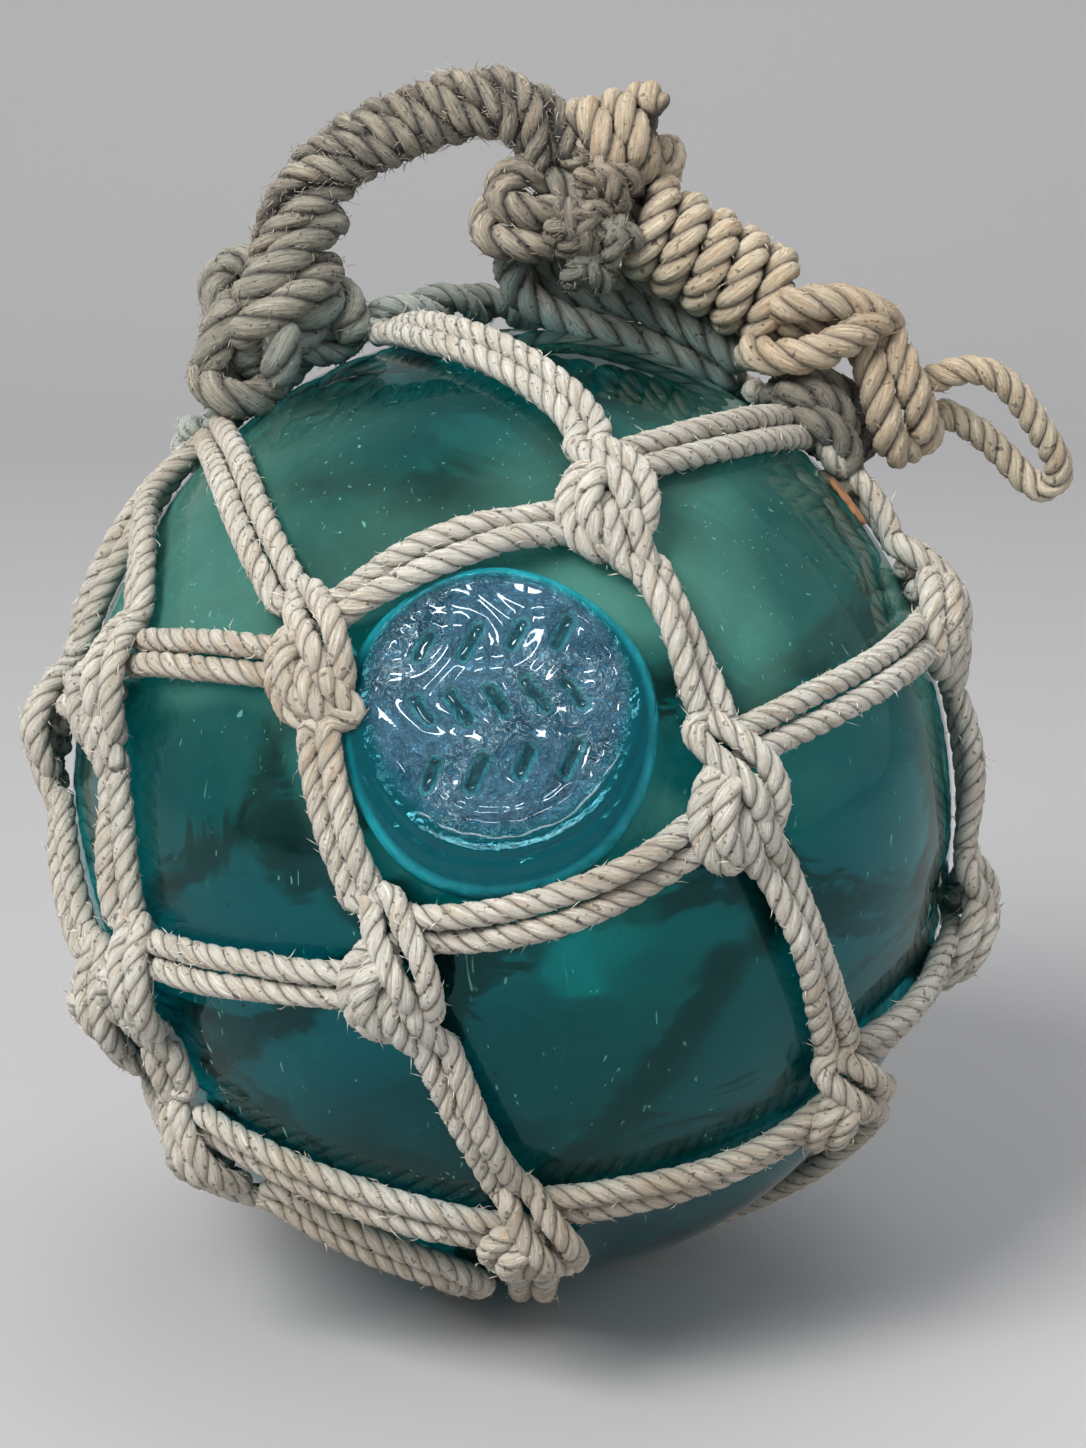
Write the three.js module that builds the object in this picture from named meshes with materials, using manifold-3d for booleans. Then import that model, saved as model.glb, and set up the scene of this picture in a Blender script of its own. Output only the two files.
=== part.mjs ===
// A blown glass float in its knotted rope net, with a served handle and a lanyard.
// Millimetres, +Z up. Shapes are laid out about the glass ball's centre and the whole
// is set down on z = 0 at the end.
import * as THREE from 'three';
import { mergeVertices } from 'three/addons/utils/BufferGeometryUtils.js';
import Module from 'manifold-3d';

const wasm = await Module();
wasm.setup();

// Driving dimensions
const ballWidth = 143;
const ballHeight = 155;
const ballLean = 4; // degrees, the top towards -X
const netRope = 3.9;
const handleRope = 5.8;
const handleServed = 11; // the handle's thickness over its serving
const lanyardRope = 6.2;
const loopRope = 4.6; // the same rope, drawn thin in its free loop
const sealWidth = 46;
const sealHeight = 49;
const sealThick = 4.2;
const gap = 0.35; // air kept between one piece and the next

const turn = 2 * Math.PI;
const rad = THREE.MathUtils.degToRad;
const upAxis = new THREE.Vector3(0, 0, 1);
const leanAxis = new THREE.Vector3(0, 1, 0);
const ballRadii = new THREE.Vector3(ballWidth / 2, ballWidth / 2, ballHeight / 2);

// ---------- places on the glass ----------

// A direction from the ball's centre: degrees around from +X, degrees down from the top.
function way([around, down]) {
  return new THREE.Vector3().setFromSphericalCoords(1, rad(down), rad(around + 90)).applyAxisAngle(
    new THREE.Vector3(1, 0, 0), Math.PI / 2);
}

function glassNormal(direction) {
  return direction.clone().divide(ballRadii).normalize().applyAxisAngle(leanAxis, -rad(ballLean));
}

function onGlass(direction, lift) {
  const spot = direction.clone().multiply(ballRadii).applyAxisAngle(leanAxis, -rad(ballLean));
  return spot.addScaledVector(glassNormal(direction), lift);
}

// Directions along a line over the glass through a few places, bowed sideways by some degrees.
function lineOnGlass(places, steps, bow = 0) {
  const ways = places.map(way);
  const side = ways[0].clone().cross(ways.at(-1)).normalize();
  const curve = new THREE.CatmullRomCurve3(ways, false, 'centripetal');
  return Array.from({ length: steps + 1 }, (_, i) => {
    const t = i / steps;
    return curve.getPointAt(t).addScaledVector(side, Math.sin(Math.PI * t) * Math.tan(rad(bow))).normalize();
  });
}

// ---------- closed bodies ----------

function bodyOf(geometry) {
  geometry.deleteAttribute('normal');
  geometry.deleteAttribute('uv');
  const merged = mergeVertices(geometry, 1e-4);
  const mesh = new wasm.Mesh({
    numProp: 3,
    vertProperties: merged.attributes.position.array,
    triVerts: new Uint32Array(merged.index.array),
  });
  return new wasm.Manifold(mesh);
}

function joined(bodies) {
  return bodies.reduce((whole, body) => whole.add(body));
}

// The largest part of a body, without the crumbs that a cut leaves.
function largest(body) {
  const parts = body.decompose();
  return parts.reduce((best, part) => (part.volume() > best.volume() ? part : best));
}

function geometryOf(body) {
  const mesh = body.getMesh();
  const geometry = new THREE.BufferGeometry();
  geometry.setAttribute('position', new THREE.BufferAttribute(new Float32Array(mesh.vertProperties), 3));
  geometry.setIndex(new THREE.BufferAttribute(new Uint32Array(mesh.triVerts), 1));
  geometry.computeVertexNormals();
  return geometry;
}

// Rings of equally many points joined into a closed skin with a fan at each end.
function skinOf(rings) {
  const count = rings[0].length;
  const middle = (ring) => ring.reduce((sum, p) => sum.add(p), new THREE.Vector3()).divideScalar(count);
  const points = [...rings.flat(), middle(rings[0]), middle(rings.at(-1))];
  const startHub = points.length - 2;
  const endHub = points.length - 1;
  const lastRing = (rings.length - 1) * count;
  const index = [];
  for (let j = 0; j < count; j++) {
    const next = (j + 1) % count;
    for (let i = 0; i < rings.length - 1; i++) {
      const here = i * count;
      const there = here + count;
      index.push(here + j, here + next, there + next, here + j, there + next, there + j);
    }
    index.push(startHub, next, j, endHub, lastRing + j, lastRing + next);
  }
  const geometry = new THREE.BufferGeometry().setFromPoints(points);
  geometry.setIndex(index);
  return geometry;
}

// Two strands side by side as one flat outline of [across, out] pairs.
function pairSection(radius) {
  return [[2, -0.2], [1.2, 0.95], [-1.2, 0.95], [-2, -0.2], [0, -0.9]].map(
    ([across, out]) => [across * radius, out * radius]);
}

function roundSection(radius, sides) {
  return Array.from({ length: sides }, (_, i) => {
    const angle = (turn * i) / sides;
    return [Math.cos(angle) * radius, Math.sin(angle) * radius];
  });
}

// Sweeps a section along points, with its out side turned towards the given directions.
function sweep(points, outs, sectionAt) {
  const rings = points.map((point, i) => {
    const ahead = points[Math.min(i + 1, points.length - 1)];
    const behind = points[Math.max(i - 1, 0)];
    const along = ahead.clone().sub(behind).normalize();
    const across = outs[i].clone().cross(along).normalize();
    const out = along.clone().cross(across);
    return sectionAt(i / (points.length - 1)).map(([a, o]) => (
      point.clone().addScaledVector(across, a).addScaledVector(out, o)));
  });
  return bodyOf(skinOf(rings));
}

function routeThrough(places, closed = false) {
  return new THREE.CatmullRomCurve3(places.map((place) => new THREE.Vector3(...place)), closed, 'centripetal');
}

// A round rope through a few places, [x, y, z] from the ball's centre.
function rope(places, radius, steps = Math.ceil(places.length * 1.6) - 1, sides = 5) {
  const outline = new THREE.Shape(roundSection(radius, sides).map(([x, y]) => new THREE.Vector2(x, y)));
  const extrudePath = routeThrough(places);
  return bodyOf(new THREE.ExtrudeGeometry(outline, { steps, bevelEnabled: false, extrudePath }));
}

// Rope wound about a straight axis; the start is counted in turns from the front.
function winding({ from, to, radius: coilRadius, turns, startTurn }, radius) {
  const a = new THREE.Vector3(...from);
  const b = new THREE.Vector3(...to);
  const axis = b.clone().sub(a).normalize();
  const front = new THREE.Vector3(0, -1, 0).projectOnPlane(axis).normalize();
  const side = axis.clone().cross(front);
  const stepsPerTurn = 6;
  const count = Math.round(turns * stepsPerTurn);
  const outs = [];
  const places = [];
  for (let i = 0; i <= count; i++) {
    const angle = turn * (startTurn + (turns * i) / count);
    const out = front.clone().multiplyScalar(Math.cos(angle)).addScaledVector(side, Math.sin(angle));
    outs.push(out);
    places.push(a.clone().lerp(b, i / count).addScaledVector(out, coilRadius));
  }
  const section = roundSection(radius, 5);
  return sweep(places, outs, () => section);
}

// ---------- glass ----------

function ballBody(grow = 0) {
  const geometry = new THREE.SphereGeometry(1, 26, 14);
  geometry.rotateX(Math.PI / 2);
  geometry.scale(...ballRadii.clone().addScalar(grow).toArray());
  geometry.rotateY(-rad(ballLean));
  return bodyOf(geometry);
}

// The seal: rings about its own middle, laid on the ball. The pressed recess sits a little high.
const sealPlace = [-89, 67];
const recessRise = 2.2;
const recessDepth = 1.1;
const sealRings = [
  { size: 0.2, rise: 0, lift: gap },
  { size: 0.6, rise: 0, lift: gap },
  { size: 1, rise: 0, lift: gap },
  { size: 1.01, rise: 0, lift: sealThick * 0.55 },
  { size: 0.95, rise: 0, lift: sealThick },
  { size: 0.81, rise: recessRise, lift: sealThick },
  { size: 0.77, rise: recessRise, lift: sealThick - recessDepth },
  { size: 0.3, rise: recessRise, lift: sealThick - recessDepth + 0.3 },
];

function sealBody(grow = 0) {
  const middle = way(sealPlace);
  const out = glassNormal(middle);
  const sideways = upAxis.clone().cross(out).normalize();
  const above = out.clone().cross(sideways);
  const sides = 20;
  const rings = sealRings.map(({ size, rise, lift }) => Array.from({ length: sides }, (_, i) => {
    const angle = (turn * i) / sides;
    const across = Math.cos(angle) * ((size * sealWidth) / 2 + grow);
    const upwards = Math.sin(angle) * ((size * sealHeight) / 2 + grow) + rise;
    const aside = middle.clone().addScaledVector(sideways, across / ballRadii.x);
    const off = lift > gap ? lift + grow : gap - grow;
    return onGlass(aside.addScaledVector(above, upwards / ballRadii.z).normalize(), off);
  }));
  return bodyOf(skinOf(rings));
}

// ---------- net ----------

// Knots from the right round by the front to the back, as [around, down] in degrees.
const shoulder = [[3, 42], [-68, 43], [-112, 59], [-147, 66], [-171, 75], [126, 72], [62, 60]];
const waist = [[-9, 68], [-62, 77], [-102, 92], [-140, 98], [-151, 103], [130, 104], [60, 92]];
const hip = [[-10, 105], [-43, 117], [-89, 129], [-140, 120], [168, 124], [108, 124], [48, 116]];

// The crown cord runs round the mouth of the net, and the upper cords hang on it.
const crown = [[176, 36], [166, 23], [148, 14], [122, 13], [85, 22], [60, 40], [95, 56], [140, 50]];
const crownLifts = [1, 1, 1.5, 2.2, 2, 1, 1, 1]; // in cord thicknesses, off the glass
const upperCords = [
  [crown[5]],
  [crown[2], [-120, 9], [-77, 18], [-66, 30]],
  [crown[0], [-147, 38], [-127, 47]],
  [crown[0], [-176, 45], [-157, 51], [-149, 58]],
  [crown[0], [178, 42], [-173, 50], [-173, 60]],
  [crown[6]],
  [crown[5]],
];
// The cords under the ball, from each hip knot to the start ring's edge.
const footCords = [
  [[12, 130], [24, 152], [36, 170]], [[-18, 128], [-4, 150], [-11, 172.5]], [[-92, 146], [-94, 158], [-96, 171.5]],
  [[-119, 134], [-106, 145], [-125, 160], [-146, 167]], [[172, 145], [166, 162]], [[112, 145], [122, 161.5]],
  [[60, 145], [82, 165]],
];
const footPressed = 0.4; // share of its thickness that a cord has lost where it reaches the ring
const waistDropBow = [0, 0, -2, 0, 0, 0, 0]; // sideways bow of the cords from shoulder to waist, degrees
const rows = [
  { knots: shoulder, bows: [2.5, -0.5, 0, 0, 0, 0, 0] },
  { knots: waist, bows: [0.5, 2.5, 0, 0, 0, 0, 0] },
  { knots: hip, bows: [-1, 0, -2.4, 0, 0, 0, 0] },
];
const leftPort = [0, 1.5]; // where a row's cord leaves a knot, from the knot's middle
const rightPort = [0, -4.5]; // where it reaches the next knot
const stepDegrees = 16; // length of one straight stretch of cord

// Cord and knot sections: [across, off the glass]. A knot is the cord's section, swollen.
const strand = netRope / 2;
const cordClear = gap + 0.8; // the straight stretches dip between their ends
const cordSection = [[2, 0.8], [1.2, 1.9], [-1.2, 1.9], [-2, 0.8], [-0.9, 0], [0.9, 0]].map(
  ([across, off]) => [across * strand, off * strand + cordClear]);
const knotSection = [[2.9, 1.9], [1.4, 4.2], [-1.8, 4.2], [-3.6, 1.9], [-1.8, 0], [1.4, 0]].map(
  ([across, off]) => [across * strand, off * strand + gap]);
const knotSwell = [[-9, 0], [-3, 1], [4, 0.95], [10.5, 0]]; // [along the cord, swell]

function sectionSwollen(swell) {
  return cordSection.map(([across, off], i) => [
    THREE.MathUtils.lerp(across, knotSection[i][0], swell), THREE.MathUtils.lerp(off, knotSection[i][1], swell),
  ]);
}

// A skin over the glass along directions, with one section for each.
function sweepOnGlass(ways, sections, lifts = ways.map(() => 0)) {
  const rings = ways.map((direction, i) => {
    const ahead = ways[Math.min(i + 1, ways.length - 1)];
    const behind = ways[Math.max(i - 1, 0)];
    const aside = direction.clone().cross(ahead.clone().sub(behind)).normalize();
    return sections[i].map(([across, off]) => {
      const spot = direction.clone().addScaledVector(aside, across / ballRadii.x).normalize();
      return onGlass(spot, off + lifts[i]);
    });
  });
  return bodyOf(skinOf(rings));
}

function lengthOf(places) {
  return places.slice(1).reduce((sum, place, i) => sum + way(place).angleTo(way(places[i])), 0);
}

// One line of the net from the crown down to the start ring, swelling at its three knots.
function columnBody(column) {
  const knots = rows.map((row) => row.knots[column]);
  const stretches = [
    [...upperCords[column], knots[0]], [knots[0], knots[1]], [knots[1], knots[2]], [knots[2], ...footCords[column]],
  ];
  const ways = [];
  const sections = [];
  stretches.forEach((places, k) => {
    const long = lengthOf(places) * ballRadii.x;
    const side = way(places[0]).cross(way(places.at(-1))).normalize();
    const curve = new THREE.CatmullRomCurve3(places.map(way), false, 'centripetal');
    const bow = k === 1 ? Math.tan(rad(waistDropBow[column])) : 0;
    const leaving = k === 0 ? [] : knotSwell.filter(([along]) => along > 0);
    const reaching = k === stretches.length - 1 ? [] : knotSwell.filter(([along]) => along <= 0);
    const start = leaving.length ? leaving.at(-1)[0] : 0;
    const end = reaching.length ? long + reaching[0][0] : long;
    const steps = Math.max(1, Math.ceil(THREE.MathUtils.radToDeg((end - start) / ballRadii.x) / stepDegrees));
    const stops = [
      ...leaving.slice(0, -1),
      ...Array.from({ length: steps + 1 }, (_, i) => [start + ((end - start) * i) / steps, 0]),
      ...reaching.slice(1).map(([along, swell]) => [long + along, swell]),
    ];
    for (const [along, swell] of stops) {
      const t = Math.min(along / long, 1);
      const pressed = k === stretches.length - 1 ? 1 - footPressed * t : 1;
      ways.push(curve.getPointAt(t).addScaledVector(side, Math.sin(Math.PI * t) * bow).normalize());
      sections.push(sectionSwollen(swell).map(([across, off]) => [across, off * pressed]));
    }
  });
  return sweepOnGlass(ways, sections);
}

function moved([around, down], [further, lower]) {
  return [around + further, down + lower];
}

function rowCord(from, to, bow) {
  const places = [moved(from, leftPort), moved(to, rightPort)];
  const steps = Math.ceil(THREE.MathUtils.radToDeg(lengthOf(places)) / stepDegrees);
  const ways = lineOnGlass(places, steps, bow);
  const section = cordSection.slice(0, 4).concat([[0, cordClear]]);
  return sweepOnGlass(ways, ways.map(() => section));
}

function crownBody() {
  const curve = new THREE.CatmullRomCurve3(crown.map(way), true, 'centripetal');
  const steps = 14;
  const stops = Array.from({ length: steps + 1 }, (_, i) => (i / steps) * 0.99);
  const ways = stops.map((t) => curve.getPoint(t).normalize());
  const lifts = stops.map((t) => {
    const from = Math.floor(t * crown.length);
    const next = (from + 1) % crown.length;
    return (THREE.MathUtils.lerp(crownLifts[from], crownLifts[next], t * crown.length - from) - 1) * netRope;
  });
  const section = cordSection.map(([across, off]) => [across * 1.15, off * 1.1 + 0.3]);
  return sweepOnGlass(ways, ways.map(() => section), lifts);
}

function netBody() {
  const bodies = shoulder.map((_, column) => columnBody(column));
  for (const { knots, bows } of rows) {
    knots.forEach((place, i) => bodies.push(rowCord(place, knots[(i + 1) % knots.length], bows[i])));
  }
  bodies.push(crownBody());
  return joined(bodies);
}

// The knot that ties the handle's leg to the net at the right.
const rightKnot = [
  [[40, 0, 65.5], [44, 0, 69], [50, 2, 69], [55.5, 4, 63.5], [56, 4, 56]],
  [[43, -5, 64], [49, -6, 64], [53, -4, 59], [52, -3, 54], [47, -4, 54]],
  [[42, 3, 62], [47, 2, 62], [51, 3, 57]],
];

function rightKnotBody() {
  return joined(rightKnot.map((places) => rope(places, handleRope / 2)));
}

// ---------- start ring ----------

// A level ring of rope under the ball, on which the net was begun and all of it stands.
const startRingAcross = 24; // between the middles of its rope
const startRingBack = 5; // how far its middle sits behind the ball's
const startRingWide = 5.8; // its rope is pressed flat
const startRingHigh = 2.9;
const startRingTop = -ballRadii.z - gap;

function startRingBody() {
  const profile = [[-1, 0.4], [-0.6, 1], [0.6, 1], [1, 0.4], [1, -0.4], [0.6, -1], [-0.6, -1], [-1, -0.4], [-1, 0.4]];
  const points = profile.map(([across, up]) => (
    new THREE.Vector2((startRingAcross + across * startRingWide) / 2, (up * startRingHigh) / 2)));
  const geometry = new THREE.LatheGeometry(points.reverse(), 16);
  geometry.rotateX(Math.PI / 2);
  geometry.translate(0, startRingBack, startRingTop - startRingHigh / 2);
  return bodyOf(geometry);
}

// ---------- handle ----------

const archRoute = [
  [-37, 4, 86], [-36, 5, 91.5], [-33.5, 6, 97.5], [-28.5, 7, 102.8], [-22.5, 8, 107], [-15.3, 9, 110.2],
  [-7, 9, 112], [0, 9, 112], [5, 8, 108.5], [7.5, 7, 102.5],
];
const leftKnot = [
  [[-27, 8, 95.5], [-32, 2, 92], [-38, -2, 87], [-43, -3, 82]],
  [[-28, 7, 88], [-33, -1, 84], [-39, -5, 80.5], [-44.5, -4, 77]],
  [[-39, 4, 87.5], [-43, 5, 88], [-46.3, 4, 86], [-46.5, 1, 82.5], [-44, -3, 80]],
  [[-43.5, -2, 83], [-45.5, -4, 79.5], [-47, -4, 75], [-47.5, -3, 71.5]],
  [[-48.5, 6, 72.5], [-48.2, -3, 70.5], [-45, -7, 68.5], [-41, -5, 67.5], [-37, 1, 70]],
  [[-36, -3, 80], [-36, -6, 75], [-37, -4, 70]],
  [[-31, 7, 84], [-27, 8, 82], [-25.5, 7, 78.5], [-27, 5, 75]],
];
const legRoute = [[-1, 9, 92], [1, 11, 85], [8, 12, 80.5], [18, 12, 78], [29, 11, 74], [38, 9.5, 69.5]];
const smallLoops = [
  [[9, 6, 96.5], [3, 3, 96], [-2, 2, 98.5], [0, 4, 102], [6, 6, 102.5]],
  [[8, 5, 91], [2, 3, 91], [-4, 3, 92.5], [-3, 6, 96.5], [4, 8, 96.5]],
];
const oldKnot = [[13, 1.5, 96.5], [15.5, 0, 92], [12, 1.5, 89.5]];
const coreRadius = 2.2; // the old rope inside the windings
const windingCores = [[[8, 6.5, 103], [11, 5.5, 105.5], [22, 7.5, 108.2]], [[12, 5, 96], [19.5, 6, 94.5], [43, 5, 80.7]]];

function handleBody(grow = 0) {
  const strand = handleRope / 2 + grow;
  const bodies = leftKnot.map((places) => rope(places, strand, places.length));
  bodies.push(rope(archRoute, handleServed / 2 + grow, 10, 8));
  smallLoops.forEach((places) => bodies.push(rope(places, strand * 0.9, 5)));
  windingCores.forEach((places) => bodies.push(rope(places, coreRadius + grow, 3)));
  const points = routeThrough(legRoute).getSpacedPoints(5);
  const section = pairSection(strand * 0.95);
  bodies.push(sweep(points, points.map((point) => point.clone().setY(-20)), () => section));
  for (const place of oldKnot) {
    const geometry = new THREE.SphereGeometry(handleRope * 0.85 + grow, 7, 5);
    geometry.translate(...place);
    bodies.push(bodyOf(geometry));
  }
  return joined(bodies);
}

// ---------- lanyard ----------

const bigTurns = { from: [10.5, 5.5, 105.5], to: [23, 7.5, 108.5], radius: 4.9, turns: 2.1, startTurn: 0.3 };
const coilTurns = { from: [19.5, 6, 95], to: [42.5, 5, 81.3], radius: 5.9, turns: 4.9, startTurn: 0.45 };
const crossOver = [
  [[23, 11.5, 107], [25, 12.5, 103], [22, 12, 98.5], [20, 11.5, 95.5]],
  [[41, 4, 77], [46, 3, 76], [52, 4, 77], [56, 4, 77]],
];
const bands = [
  [[36, 0, 75], [41, -5, 74.5], [48, -6, 75.5], [55, -3, 78.5], [60, 2, 80.5]],
  [[40, -1, 81.5], [46, -3, 82.5], [53, -2, 82.5], [58, 1, 80], [60.5, 7, 77]],
];
const hangingTurns = [
  [[55, 2, 77], [57, -1.5, 71], [59, -2, 64], [61.2, 0, 59], [64.5, 4, 59]],
  [[59, 4, 78], [61.5, 0, 73], [64, 0, 67], [66, 2, 61.5], [65, 6, 59]],
];
// The free loop at the end, from the turns' upper side out and back beneath.
const loopRoute = [
  [65.2, 5, 69], [68.2, 4.6, 69.8], [71.5, 4.2, 70.9], [74.8, 4.2, 70.8], [78.1, 4.4, 69.2], [81.1, 4.8, 66.2],
  [84, 5.4, 62.3], [86.6, 6.2, 58.4], [88.2, 7.2, 55], [88.1, 8.5, 52.2], [86, 9.6, 50.8], [83.2, 10.2, 52.4],
  [80.3, 10.4, 55.4], [77, 10.2, 58.6], [73.6, 9.6, 61.1], [70.3, 8.8, 63], [67.5, 8, 64],
];

function lanyardBody(grow = 0) {
  const radius = lanyardRope / 2 + grow;
  const bodies = [winding(bigTurns, radius), winding(coilTurns, radius * 0.86)];
  bodies.push(...crossOver.map((places) => rope(places, radius, places.length + 1)));
  [...bands, ...hangingTurns].forEach((places) => bodies.push(rope(places, radius, places.length)));
  return joined(bodies);
}

function loopBody() {
  const points = routeThrough(loopRoute);
  const outline = new THREE.Shape(roundSection(loopRope / 2, 8).map(([x, y]) => new THREE.Vector2(x, y)));
  return bodyOf(new THREE.ExtrudeGeometry(outline, { steps: 16, bevelEnabled: false, extrudePath: points }));
}

// ---------- the object ----------

const ropeBase = { roughness: 0.95, metalness: 0 };
const looks = {
  glass_ball: { color: 0x1f6f68, roughness: 0.08, metalness: 0, transparent: true, opacity: 0.6 },
  seal_button: { color: 0x3f9fc0, roughness: 0.1, metalness: 0, transparent: true, opacity: 0.7 },
  rope_net: { color: 0xa59a82, ...ropeBase },
  start_ring: { color: 0x958a72, ...ropeBase },
  handle_rope: { color: 0x7f7a68, ...ropeBase },
  lanyard: { color: 0xc0ae8e, ...ropeBase },
  lanyard_loop: { color: 0xc0ae8e, ...ropeBase },
};

const lanyardRoom = lanyardBody(gap);
const handleRoom = handleBody(gap).add(lanyardRoom);
const netWhole = netBody().add(rightKnotBody().subtract(ballBody(gap)));

const bodies = {
  glass_ball: ballBody(),
  seal_button: sealBody(),
  rope_net: largest(netWhole.subtract(handleRoom).subtract(sealBody(gap))),
  start_ring: startRingBody(),
  handle_rope: largest(handleBody().subtract(lanyardRoom)),
  lanyard: lanyardBody(),
  lanyard_loop: largest(loopBody().subtract(lanyardRoom)),
};

const float = new THREE.Group();
for (const [name, body] of Object.entries(bodies)) {
  const mesh = new THREE.Mesh(geometryOf(body), new THREE.MeshStandardMaterial(looks[name]));
  mesh.name = name;
  float.add(mesh);
}

// Set down with the middle of its box over the origin, leaving the free loop out of the count.
const box = new THREE.Box3();
float.children.filter((mesh) => mesh.name !== 'lanyard_loop').forEach((mesh) => box.expandByObject(mesh));
const middle = box.getCenter(new THREE.Vector3());
float.children.forEach((mesh) => mesh.geometry.translate(-middle.x, -middle.y, -box.min.z));

export default float;
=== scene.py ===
import math
import random

import bpy
import numpy as np
from mathutils import Matrix, Vector


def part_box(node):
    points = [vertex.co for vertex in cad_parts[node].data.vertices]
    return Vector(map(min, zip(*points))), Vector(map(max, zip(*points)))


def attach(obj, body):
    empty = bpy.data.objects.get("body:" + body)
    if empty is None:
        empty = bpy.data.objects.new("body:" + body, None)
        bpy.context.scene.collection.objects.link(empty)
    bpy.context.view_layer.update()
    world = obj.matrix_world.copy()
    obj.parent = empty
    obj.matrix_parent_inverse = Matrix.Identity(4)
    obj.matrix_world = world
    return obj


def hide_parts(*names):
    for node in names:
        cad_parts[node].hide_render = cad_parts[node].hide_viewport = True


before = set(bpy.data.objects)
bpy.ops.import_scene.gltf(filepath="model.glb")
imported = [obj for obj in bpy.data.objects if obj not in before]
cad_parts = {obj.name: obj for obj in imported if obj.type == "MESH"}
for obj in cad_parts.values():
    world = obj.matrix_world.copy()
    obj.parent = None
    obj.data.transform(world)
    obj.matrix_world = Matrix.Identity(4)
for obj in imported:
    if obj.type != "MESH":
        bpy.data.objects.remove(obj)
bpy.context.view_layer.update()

mm = 0.001
ball = {"width": 143, "height": 155, "lean": 4, "wall": 4.2, "around": 96, "down": 64}
low, high = (Vector(corner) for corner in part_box("glass_ball"))
ballMiddle = np.array((low + high) / 2)
radii = np.array([ball["width"] / 2, ball["width"] / 2, ball["height"] / 2])
lean = np.array(Matrix.Rotation(math.radians(-ball["lean"]), 3, "Y"))
netRope = 3.9
handleRope = 5.8
lanyardRope = 6.2
loopRope = 4.6

camera = {"lens": 85, "sensor": 36, "tilt": 75, "fromBall": (4.9, -537.5, 157.6)}
lensData = bpy.data.cameras.new("portrait_lens")
lensData.lens = camera["lens"]
lensData.sensor_width = camera["sensor"]
cameraObject = bpy.data.objects.new("camera", lensData)
cameraObject.location = Vector(ballMiddle) + Vector(camera["fromBall"]) * mm
cameraObject.rotation_euler = (math.radians(camera["tilt"]), 0, 0)
bpy.context.scene.collection.objects.link(cameraObject)
bpy.context.scene.camera = cameraObject
print("camera placed")


def unit(v):
    return v / np.linalg.norm(v, axis=-1, keepdims=True)


def way(place):  # degrees around from +X and down from the top
    around, down = (math.radians(a) for a in place)
    return np.array([math.sin(down) * math.cos(around), math.sin(down) * math.sin(around), math.cos(down)])


def onGlass(ways, lift):  # mm from the ball's middle, lifted off the glass
    normals = unit(ways / radii) @ lean.T
    return (ways * radii) @ lean.T + normals * np.asarray(lift)[..., None]


def threaded(points, closed=False, fine=24):  # a centripetal spline through the points
    p = np.array(points, float)
    ends = (p[-1:], p[:2]) if closed else (2 * p[:1] - p[1:2], 2 * p[-1:] - p[-2:-1])
    p = np.vstack([ends[0], p, ends[1]])
    line = []
    for a, b, c, d in zip(p, p[1:], p[2:], p[3:]):
        ab, bc, cd = (max(np.linalg.norm(q) ** 0.5, 1e-6) for q in (b - a, c - b, d - c))
        out = ((b - a) / ab - (c - a) / (ab + bc) + (c - b) / bc) * bc
        into = ((c - b) / bc - (d - b) / (bc + cd) + (d - c) / cd) * bc
        t = np.linspace(0, 1, fine, endpoint=False)[:, None]
        line.append((2 * t**3 - 3 * t**2 + 1) * b + (t**3 - 2 * t**2 + t) * out
                    + (3 * t**2 - 2 * t**3) * c + (t**3 - t**2) * into)
    return np.vstack(line + [p[1:2] if closed else p[-2:-1]])


def evenly(line, spacing):
    steps = np.linalg.norm(np.diff(line, axis=0), axis=1)
    along = np.concatenate([[0], np.cumsum(steps)])
    count = max(3, int(round(along[-1] / spacing)) + 1)
    stops = np.linspace(0, along[-1], count)
    return np.stack([np.interp(stops, along, line[:, i]) for i in range(3)], axis=1)


def lengthOf(line):
    return float(np.linalg.norm(np.diff(line, axis=0), axis=1).sum())


def framesAlong(line):  # tangents, and a pair of sides that never twist
    ahead = unit(np.gradient(line, axis=0))
    side = np.cross(ahead[0], [0.31, 0.12, 0.94])
    sides = []
    for t in ahead:
        side = side - t * (side @ t)
        side = side / np.linalg.norm(side)
        sides.append(side)
    sides = np.array(sides)
    return ahead, sides, np.cross(ahead, sides)


# A laid rope: its pitch in rope widths, its groove in shares of the half width.
laid = {"pitch": 2.4, "pointsPerStrand": 8, "ringsPerPitch": 12, "groove": 0.15, "roundness": 2.2}


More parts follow.
